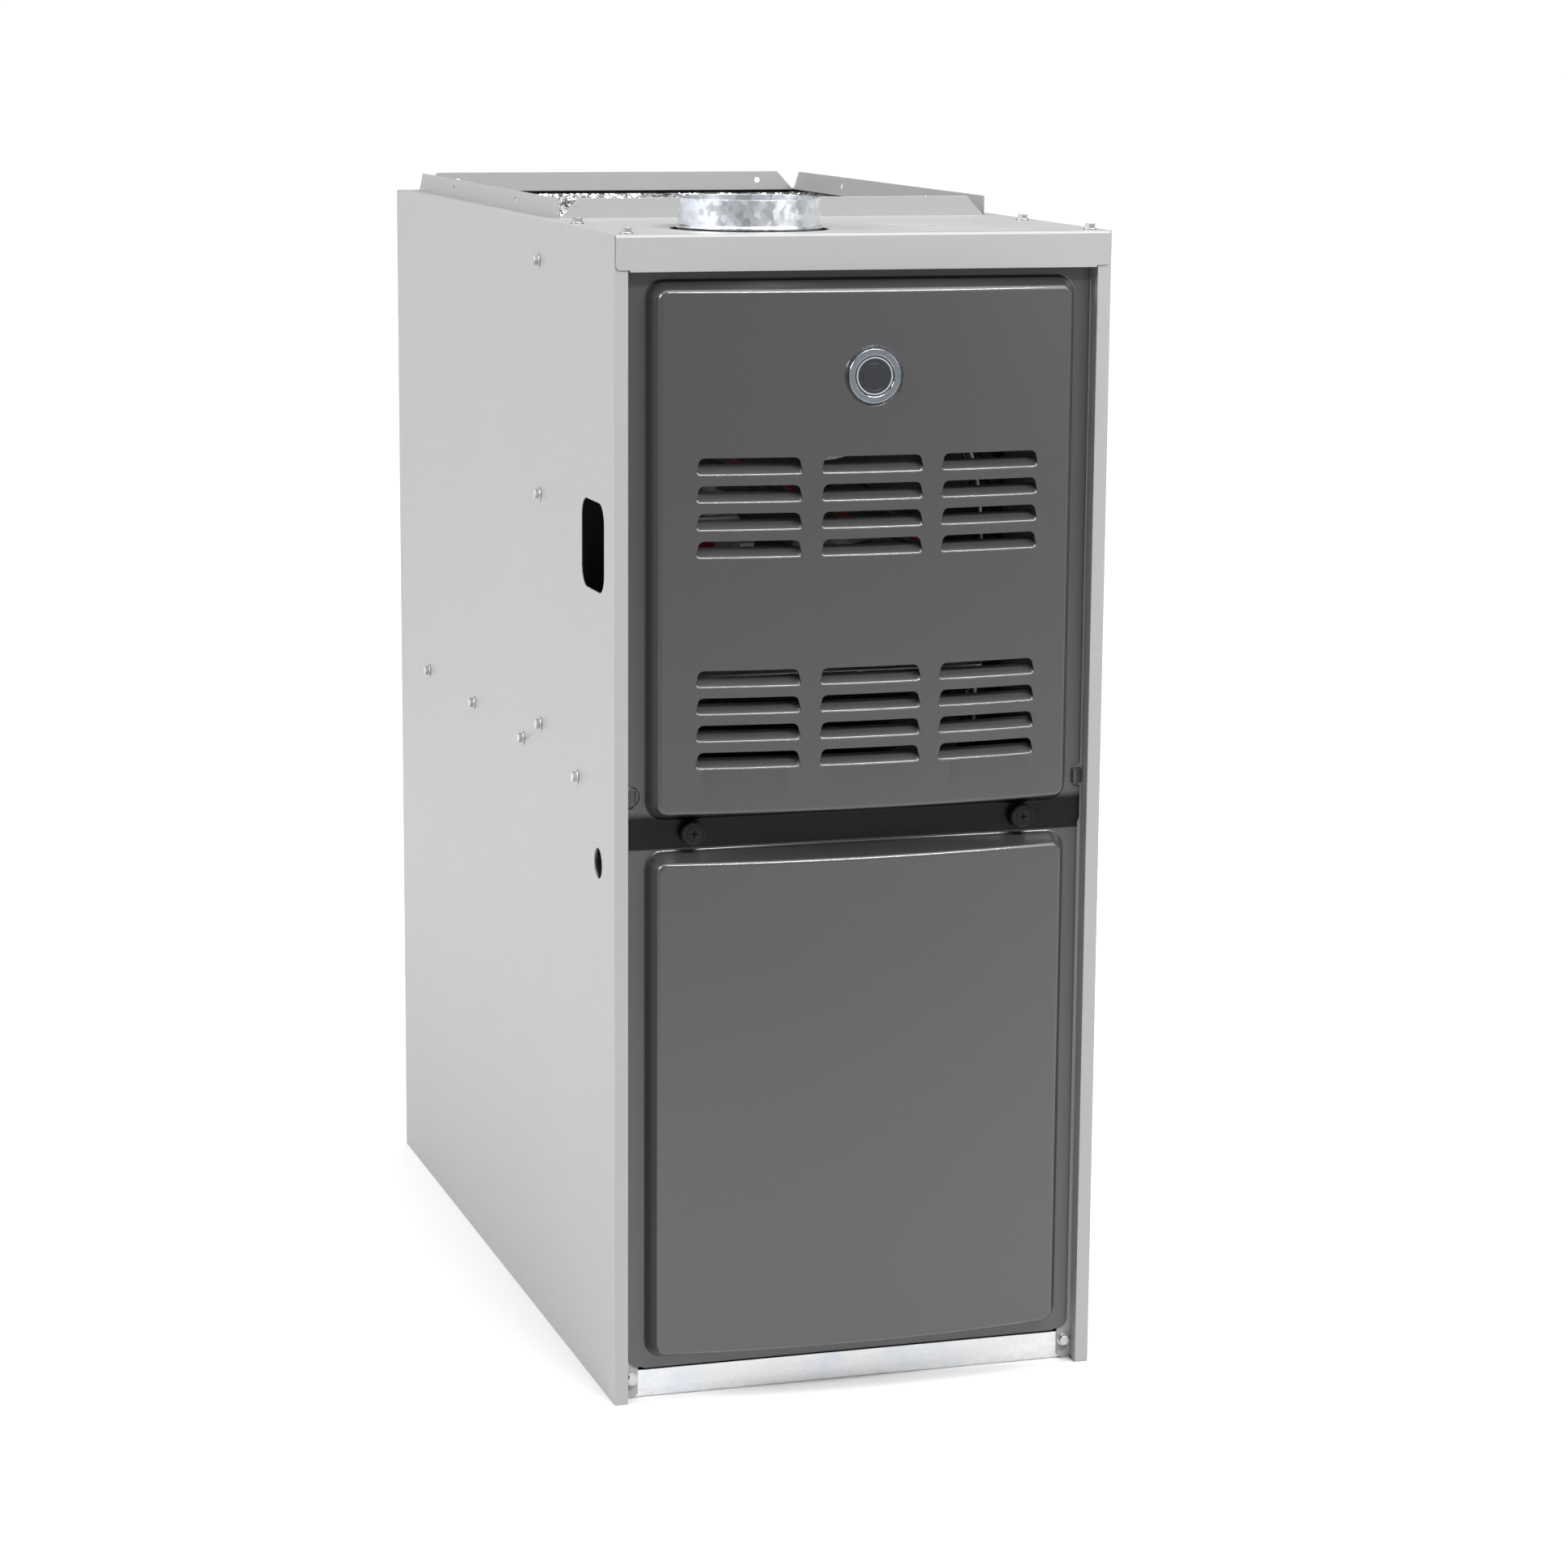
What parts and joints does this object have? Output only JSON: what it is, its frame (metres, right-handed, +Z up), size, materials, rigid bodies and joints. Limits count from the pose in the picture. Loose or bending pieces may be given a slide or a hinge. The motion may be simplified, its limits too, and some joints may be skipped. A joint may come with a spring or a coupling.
{
  "type": "forced air gas furnace",
  "caption": "Upright forced air gas furnace: light painted sheet-metal cabinet, two dark crowned doors, the upper one louvred, flue collar and flanged duct opening on top.",
  "frame": {"origin": "centre of the cabinet's base, on the floor it stands on", "axes": "+Z up, the doors face -Y, +X to the right of someone who faces the doors"},
  "size_m": [0.3768, 0.7546, 0.868],
  "materials": {
    "casing_paint": "satin",
    "door_paint": "satin",
    "galvanised": "satin",
    "aluminised": "matte",
    "foil": "gloss",
    "screw_zinc": "satin",
    "cast_alloy": "matte",
    "black_iron": "matte",
    "brass": "satin",
    "motor_paint": "satin",
    "black_plastic": "matte",
    "grey_plastic": "matte",
    "red_plastic": "gloss",
    "circuit_board": "satin",
    "ceramic_white": "matte",
    "hose_rubber": "matte",
    "badge_face": "satin",
    "chrome": "gloss"
  },
  "bodies": {
    "cabinet": {"left_side_panel": "casing_paint", "right_side_panel": "casing_paint", "back_panel": "casing_paint", "top_panel": "casing_paint", "base_pan": "galvanised", "front_base_rail": "galvanised", "blower_deck": "galvanised", "door_clips": "door_paint", "vestibule_panel": "galvanised", "foil_insulation": "foil", "heat_exchanger_tubes": "aluminised", "collector_box": "aluminised", "burner_bracket": "galvanised", "burners": "aluminised", "gas_manifold": "black_iron", "gas_orifices": "brass", "gas_valve": "cast_alloy", "hot_surface_igniter": "ceramic_white", "flame_sensor": "ceramic_white", "rollout_switches": "screw_zinc", "inducer_housing": "galvanised", "inducer_motor": "motor_paint", "flue_collar": "galvanised", "pressure_switch": "grey_plastic", "pressure_hose": "hose_rubber", "high_limit_switch": "screw_zinc", "blower_housing": "galvanised", "blower_motor_mount": "black_iron", "blower_motor": "motor_paint", "control_bracket": "galvanised", "control_board": "circuit_board", "transformer": "black_iron", "run_capacitor": "screw_zinc", "capacitor_strap": "galvanised", "door_switch": "black_plastic", "junction_box": "galvanised", "side_screws": "screw_zinc", "top_screws": "screw_zinc", "rail_screws": "screw_zinc", "back_screws": "screw_zinc"},
    "upper_door": {"upper_door_panel": "door_paint", "badge_disc": "badge_face", "badge_ring": "chrome"},
    "lower_door": {"lower_door_panel": "door_paint"},
    "left_thumb_shank": {"thumb_screw_shank_left": "screw_zinc"},
    "left_thumb_knob": {"thumb_screw_knob_left": "black_plastic"},
    "right_thumb_shank": {"thumb_screw_shank_right": "screw_zinc"},
    "right_thumb_knob": {"thumb_screw_knob_right": "black_plastic"},
    "gas_knob": {"gas_valve_knob": "red_plastic"},
    "left_reset_button": {"rollout_button_left": "red_plastic"},
    "right_reset_button": {"rollout_button_right": "red_plastic"},
    "inducer_rotor": {"inducer_shaft": "screw_zinc", "inducer_wheel": "aluminised"},
    "blower_rotor": {"blower_shaft": "screw_zinc", "blower_wheel": "galvanised"},
    "switch_plunger": {"door_switch_plunger": "red_plastic"}
  },
  "joints": [
    {"name": "upper_door_tilt", "type": "hinge", "parent": "cabinet", "child": "upper_door", "pos_m": [0, -0.353, 0.826], "axis": [-1, 0, 0], "range_deg": [0, 28]},
    {"name": "lower_door_tilt", "type": "hinge", "parent": "cabinet", "child": "lower_door", "pos_m": [0, -0.3484, 0.012], "axis": [1, 0, 0], "range_deg": [0, 12.7]},
    {"name": "left_thumb_screw_travel", "type": "slide", "parent": "upper_door", "child": "left_thumb_shank", "axis": [0, -1, 0], "range_m": [0, 0.00635]},
    {"name": "left_thumb_screw_turn", "type": "hinge", "parent": "left_thumb_shank", "child": "left_thumb_knob", "pos_m": [-0.125, -0.3556, 0.421], "axis": [0, -1, 0], "range_deg": [0, 1800]},
    {"name": "right_thumb_screw_travel", "type": "slide", "parent": "upper_door", "child": "right_thumb_shank", "axis": [0, -1, 0], "range_m": [0, 0.00635]},
    {"name": "right_thumb_screw_turn", "type": "hinge", "parent": "right_thumb_shank", "child": "right_thumb_knob", "pos_m": [0.125, -0.3556, 0.421], "axis": [0, -1, 0], "range_deg": [0, 1800]},
    {"name": "gas_valve_turn", "type": "hinge", "parent": "cabinet", "child": "gas_knob", "pos_m": [-0.115, -0.331, 0.623], "axis": [0, -1, 0], "range_deg": [0, 90]},
    {"name": "left_rollout_reset_press", "type": "slide", "parent": "cabinet", "child": "left_reset_button", "axis": [0, 1, 0], "range_m": [0, 0.002], "stiffness_N_per_m": 150},
    {"name": "right_rollout_reset_press", "type": "slide", "parent": "cabinet", "child": "right_reset_button", "axis": [0, 1, 0], "range_m": [0, 0.002], "stiffness_N_per_m": 150},
    {"name": "inducer_spin", "type": "hinge", "parent": "cabinet", "child": "inducer_rotor", "pos_m": [-0.014, -0.295, 0.742], "axis": [0, 1, 0], "continuous": true},
    {"name": "blower_spin", "type": "hinge", "parent": "cabinet", "child": "blower_rotor", "pos_m": [0, 0.065, 0.222], "axis": [1, 0, 0], "continuous": true},
    {"name": "door_switch_travel", "type": "slide", "parent": "cabinet", "child": "switch_plunger", "axis": [0, -1, 0], "range_m": [0, 0.004]}
  ],
  "couplings": [
    {"joint": "lower_door_tilt", "follows": "upper_door_tilt", "ratio": 0.45},
    {"joint": "door_switch_travel", "follows": "upper_door_tilt", "m_per_rad": 0.008185},
    {"joint": "left_thumb_screw_turn", "follows": "left_thumb_screw_travel", "rad_per_m": 4947.4},
    {"joint": "right_thumb_screw_turn", "follows": "right_thumb_screw_travel", "rad_per_m": 4947.4}
  ]
}
